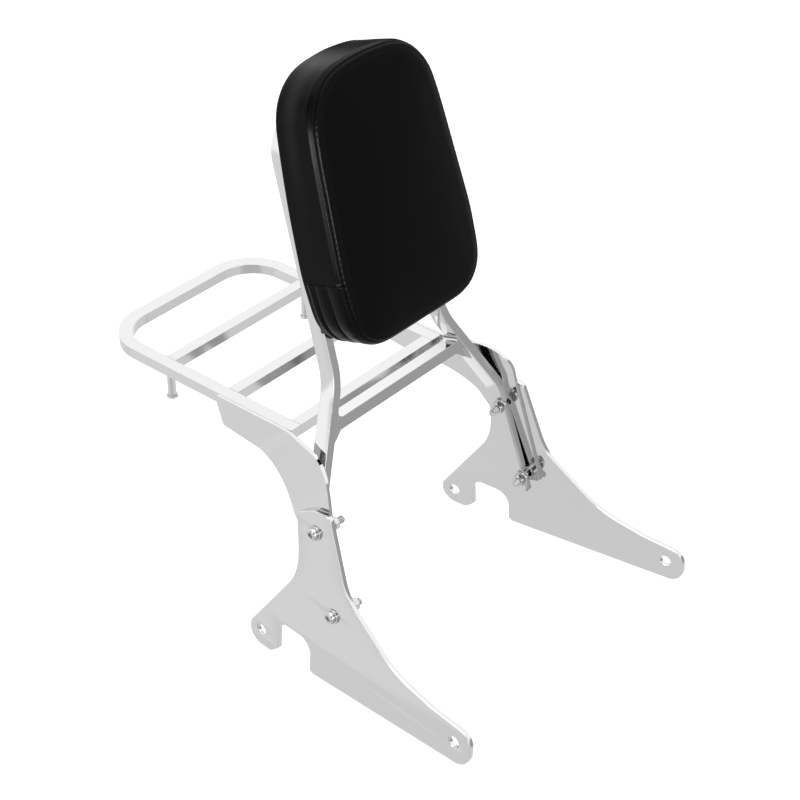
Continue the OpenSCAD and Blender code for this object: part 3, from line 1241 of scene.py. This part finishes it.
    def swell(self, points: np.ndarray) -> np.ndarray:
        """Blows the cushion up as sewn cloth and gives each point's movement.

        The coarse copy is simulated as cloth under pressure without gravity. Its back and its welt are
        pinned, as the board and the seam hold them. The movement of every cloth point is capped, and
        the fine grid takes the mean of its nearest neighbours' movements, weighted by a bell curve of
        the distance.

        Args:
            points: the fine grid [x, u, t] in mm.

        Returns:
            The movement of the fine grid's points in mm.
        """
        cloth, rest = self.make_cloth()
        held = self.pin(cloth, rest)
        settings = cloth.modifiers.new("stuffing", "CLOTH").settings
        for name, value in {
            "quality": 6, "mass": 0.3, "vertex_group_mass": held, "pin_stiffness": 1.0,
            "use_pressure": True, "uniform_pressure_force": self.pressure, "tension_stiffness": 25,
            "compression_stiffness": 25, "shear_stiffness": 10, "bending_stiffness": 2,
        }.items():
            setattr(settings, name, value)
        settings.effector_weights.gravity = 0
        scene = bpy.context.scene
        scene.frame_start, scene.frame_end = 1, self.frames
        for number in range(1, self.frames + 1):
            scene.frame_set(number)
        blown = cloth.evaluated_get(bpy.context.evaluated_depsgraph_get()).to_mesh()
        move = read_points(blown) / MM - rest
        size = np.linalg.norm(move, axis=1, keepdims=True)
        log.info("stuffing moved the cover by up to %.1f mm, mean %.1f mm", size.max(), size.mean())
        move *= np.minimum(1.0, self.cap_mm / np.maximum(size, 1e-9))
        bpy.data.objects.remove(cloth)
        scene.frame_set(1)
        tree = search_tree(rest)
        found = [tree.find_n(p, self.neighbours) for p in points.reshape(-1, 3)]
        index = np.array([[f[1] for f in near] for near in found])
        distance = np.array([[f[2] for f in near] for near in found])
        weight = bell(distance, self.bell_mm) + 1e-9
        weight /= weight.sum(1, keepdims=True)
        return (move[index] * weight[..., None]).sum(1).reshape(points.shape)

    def sew(self, points: np.ndarray, away: np.ndarray) -> np.ndarray:
        """Presses the seams into the skin along its normals, in mm.

        The welt is a bell-shaped groove 0.9 wide with a rolled lip on either side and small puckers
        along it. Below the cross seam two more seams run round the gusset and the bands between them
        stand out as half sine waves. The cross seam is a folded lip above a groove.

        Args:
            points: the grid [x, u, t].
            away: the distance from the welt, negative on the gusset.

        Returns:
            The grid with its seams.
        """
        u, t = points[..., 1], points[..., 2]
        ring = points[len(points) // 2]
        run = np.cumsum(np.linalg.norm(np.diff(ring, axis=0, prepend=ring[:1]), axis=1))[None, :]
        pucker = np.sin(run * TURN / self.pucker_run + 1.7 * np.sin(run / 23))
        pucker = pucker * (0.6 + 0.4 * np.sin(run / 37))
        lift = -self.welt_depth * bell(away, 0.9)
        lift += 0.6 * bell(away - 2.6, 1.8) + 0.40 * bell(away + 2.0, 1.2)
        lift += self.pucker_height * pucker * bell(away - 2.5, 3.0)
        gusset = (away < -0.01) & (t > 0.5)
        lower = smooth_step((self.cross_seam_u - u) / 1.2) * gusset
        marks = (2.0, *self.pleats, self.welt_t - 1.0)
        for low, high in zip(marks[:-1], marks[1:]):
            inside = (t > low) & (t < high)
            wave = np.sin(np.clip((t - low) / (high - low), 0, 1) * math.pi) ** 0.7
            lift += lower * inside * self.band_height * wave
        for seam in self.pleats:
            lift -= lower * self.pleat_depth * bell(t - seam, 0.75)
        rise = u - self.cross_seam_u
        belt = smooth_step((t - 1.0) / 2) * gusset
        lift += belt * (self.fold_height * bell(rise - 0.9, 0.7) - self.fold_depth * bell(rise + 0.5, 0.6))
        return points + self.normals(points) * lift[..., None]

    def build(self, finishes: Finishes) -> bpy.types.Object:
        """Builds the cushion and hands it over in place of its plain CAD solid.

        Args:
            finishes: the materials.

        Returns:
            The cushion, which two of the studio's lights are for.
        """
        points, away = self.skin(True)
        settle = self.swell(points)
        fade = np.clip(np.abs(away) / self.welt_fade, 0, 1) * smooth_step(points[..., 2] / self.back_fade)
        points = points + settle * (fade * self.swell_share)[..., None]
        points = self.sew(points, away)
        points[0] = points[0].mean(0)
        points[-1] = points[-1].mean(0)
        leaning = np.stack([points[..., 0], points[..., 1], self.back - points[..., 2]], axis=-1)
        piece = grid_piece("stuffed_cushion", self.frame.to_world(leaning))
        hand_over(piece, Slot.VINYL, finishes, "pad_cushion")
        return piece


@dataclass
class SmallParts:
    """The rack's tie-down feet and the screws that hold the pad's straps to the upright."""

    lean: LeanFrame
    post_x: float = 107.0
    post_y: float = 181.5
    foot_low: float = 193.5
    foot_r: float = 6.2
    screw_places: tuple[tuple[float, float], ...] = ((81.4, 45.0), (75.0, 205.0))
    columns: int = 40

    def build(self, finishes: Finishes) -> None:
        """Builds both feet, a rolled flange with a small nipple each, and the four low-headed screws.

        Args:
            finishes: the materials.
        """
        low, r = self.foot_low, self.foot_r
        foot = carry_round([
            (0, low - 0.6), (1.4, low - 0.5), (1.7, low), (r - 0.9, low), (r - 0.3, low + 0.25), (r, low + 0.9),
            (r, low + 2.4), (r - 0.25, low + 3.1), (r - 0.9, low + 3.4), (4.4, low + 3.5), (0, low + 3.5),
        ], self.columns)
        feet = [grid_piece("foot", (foot + [side * self.post_x, self.post_y, 0]) * MM) for side in SIDES]
        hand_over_set("tie_down_feet", feet, finishes, "rack_post_feet")
        screw = carry_round([
            (0, -6), (2.0, -6), (2.45, -5.4), (2.45, 19.6), (4.5, 19.6), (4.8, 19.75), (4.7, 20.0), (3.9, 20.3),
            (2.2, 20.45), (1.9, 20.4), (1.7, 19.9), (0, 19.9),
        ], self.columns)
        screws = [
            grid_piece("screw", self.lean.to_world(screw + [side * x, u, 0]))
            for side in SIDES
            for x, u in self.screw_places
        ]
        hand_over_set("low_head_screws", screws, finishes, "pad_screws")


@dataclass
class Studio:
    """Camera, pale floor and soft light of a product picture, in metres and watts.

    The tent's level starts at tent_level. Each zone is an axis, the cosines to it at which the zone
    begins and is full, and the level there.
    """

    camera_at: Triple = (-1.286, -1.1486, 1.4028)
    yaw: float = 49.59
    pitch: float = 34.61
    focal_px: float = 1954.0
    sensor_mm: float = 36.0
    floor_z: float = -0.62
    floor_side: float = 60.0
    floor_points: int = 9
    tent_level: float = 1.40
    zones: tuple[tuple[Triple, float, float, float], ...] = (
        ((0.0, 0.0, -1.0), 0.0, 0.3, 0.92),
        ((-0.61, 0.70, -0.36), 0.94, 0.99, 1.02),
        ((0.627, -0.758, -0.08), 0.88, 0.95, 0.50),
        ((-0.627, -0.533, -0.568), 0.85, 0.95, 0.70),
        ((0.80, 0.60, -0.02), 0.958, 0.978, 0.02),
        ((0.02, 0.43, -0.90), 0.94, 0.99, 1.20),
        ((-0.62, 0.62, 0.48), 0.935, 0.975, 0.04),
        ((-0.627, -0.533, 0.568), 0.90, 0.96, 0.05),
    )

    def look(self, thing: bpy.types.Object, at: Triple, ahead: Vector) -> None:
        """Stands a camera or a lamp at a place and turns it.

        Args:
            thing: the camera or the lamp.
            at: where it stands, in metres.
            ahead: the way it looks.
        """
        thing.location = at
        thing.rotation_mode = "QUATERNION"
        thing.rotation_quaternion = ahead.to_track_quat("-Z", "Y")

    def add_camera(self) -> None:
        """Places the camera at the photograph's angle, level, with a long lens."""
        data = bpy.data.cameras.new("camera")
        data.sensor_width = self.sensor_mm
        data.lens = self.sensor_mm * self.focal_px / IMAGE_SIDE
        data.clip_start, data.clip_end = 0.05, 60.0
        camera = put("camera", data)
        yaw, pitch = math.radians(self.yaw), math.radians(self.pitch)
        ahead = Vector((math.sin(yaw) * math.cos(pitch), math.cos(yaw) * math.cos(pitch), -math.sin(pitch)))
        self.look(camera, self.camera_at, ahead)
        bpy.context.scene.camera = camera

    def add_floor(self) -> None:
        """Lays a plain pale floor, a flat sheet of matt paper that the chrome doesn't mirror."""
        count = self.floor_points
        side = np.linspace(-self.floor_side / 2, self.floor_side / 2, count)
        x, y = np.meshgrid(side, side)
        points = np.stack([x, y, np.full_like(x, self.floor_z)], axis=-1)
        index = np.arange(count**2).reshape(count, count)
        quads = np.stack([index[:-1, :-1], index[:-1, 1:], index[1:, 1:], index[1:, :-1]], axis=-1)
        mesh = bpy.data.meshes.new("floor")
        mesh.from_pydata(points.reshape(-1, 3).tolist(), [], quads.reshape(-1, 4).tolist())
        floor = put("floor", mesh)
        paper = bpy.data.materials.new("matt_white_paper")
        paper.use_nodes = True
        sheet = paper.node_tree.nodes["Principled BSDF"].inputs
        sheet["Base Color"].default_value = linear("FAFAFA")
        sheet["Roughness"].default_value = 0.9
        sheet["Specular IOR Level"].default_value = 0.1
        mesh.materials.append(paper)
        floor.visible_glossy = False

    def add_sky(self) -> None:
        """Sets the white tent round the object: soft zones of brightness by direction.

        Each zone pulls the level towards its own by a smooth function of the cosine between the
        direction and the zone's axis.
        """
        world = bpy.data.worlds.new("tent")
        bpy.context.scene.world = world
        world.use_nodes = True
        tree = world.node_tree
        tree.nodes.clear()
        way = add_node(tree, "ShaderNodeTexCoord").outputs["Generated"]
        level = add_node(tree, "ShaderNodeValue").outputs[0]
        level.default_value = self.tent_level
        for axis, low, high, value in self.zones:
            cosine = add_node(
                tree, "ShaderNodeVectorMath",
                {"operation": "DOT_PRODUCT", 1: tuple(Vector(axis).normalized())},
                {0: way},
            )
            share = add_node(
                tree, "ShaderNodeMapRange",
                {"interpolation_type": "SMOOTHSTEP", "From Min": low, "From Max": high},
                {"Value": cosine.outputs["Value"]},
            )
            level = add_node(
                tree, "ShaderNodeMix",
                {"data_type": "FLOAT", 3: value},
                {0: share.outputs["Result"], 2: level},
            ).outputs[0]
        background = add_node(tree, "ShaderNodeBackground", {"Color": (1, 1, 1, 1)}, {"Strength": level})
        add_node(tree, "ShaderNodeOutputWorld", links={"Surface": background.outputs["Background"]})

    def add_light(
        self, name: str, at: Triple, aim: Triple, side: float, watts: float,
        only: tuple[bpy.types.Object, ...] = (),
    ) -> None:
        """Adds a soft square area light that looks at a point.

        Args:
            name: name of the light.
            at: where it stands, in metres.
            aim: the point it looks at.
            side: its edge length in metres.
            watts: its power.
            only: pieces that it lights; none means all.
        """
        data = bpy.data.lights.new(name, "AREA")
        data.shape, data.size, data.energy = "SQUARE", side, watts
        lamp = put(name, data)
        self.look(lamp, at, Vector(aim) - Vector(at))
        if only:
            chosen = bpy.data.collections.new(f"lit_by_{name}")
            for piece in only:
                chosen.objects.link(piece)
            lamp.light_linking.receiver_collection = chosen
            lamp.visible_camera = False
            lamp.visible_diffuse = False

    def build(self, cushion: bpy.types.Object) -> None:
        """Builds the studio; the picture's own colours are shown as they are.

        The two cards light the cushion alone, for the glints along its lip and its gusset.

        Args:
            cushion: the finished cushion.
        """
        self.add_camera()
        self.add_floor()
        self.add_sky()
        self.add_light("top_softbox", (0.3, 0.2, 3.2), (0.3, 0.2, 0.0), 3.0, 40.0)
        self.add_light("front_softbox", (-0.55, -2.1, 0.75), (0.0, 0.0, 0.45), 0.5, 4.0)
        pad = (-0.09, 0.0, 0.50)
        self.add_light("lip_card", (-1.25, -1.55, 0.72), pad, 0.20, 50.0, only=(cushion,))
        self.add_light("gusset_card", (-1.28, 0.08, 0.47), pad, 0.30, 12.0, only=(cushion,))
        bpy.context.scene.view_settings.view_transform = "Standard"


def main() -> None:
    """Builds every sub-assembly in order, and then the studio round it."""
    finishes = make_finishes()
    SteelWork().dress_nodes(finishes)
    lean, plates = LeanFrame(), SidePlates()
    plates.build(finishes)
    Upright(lean, plates).build(finishes)
    SideJoint(plates).build(finishes)
    cushion = Cushion(lean).build(finishes)
    SmallParts(lean).build(finishes)
    Studio().build(cushion)


if __name__ == "__main__":
    main()
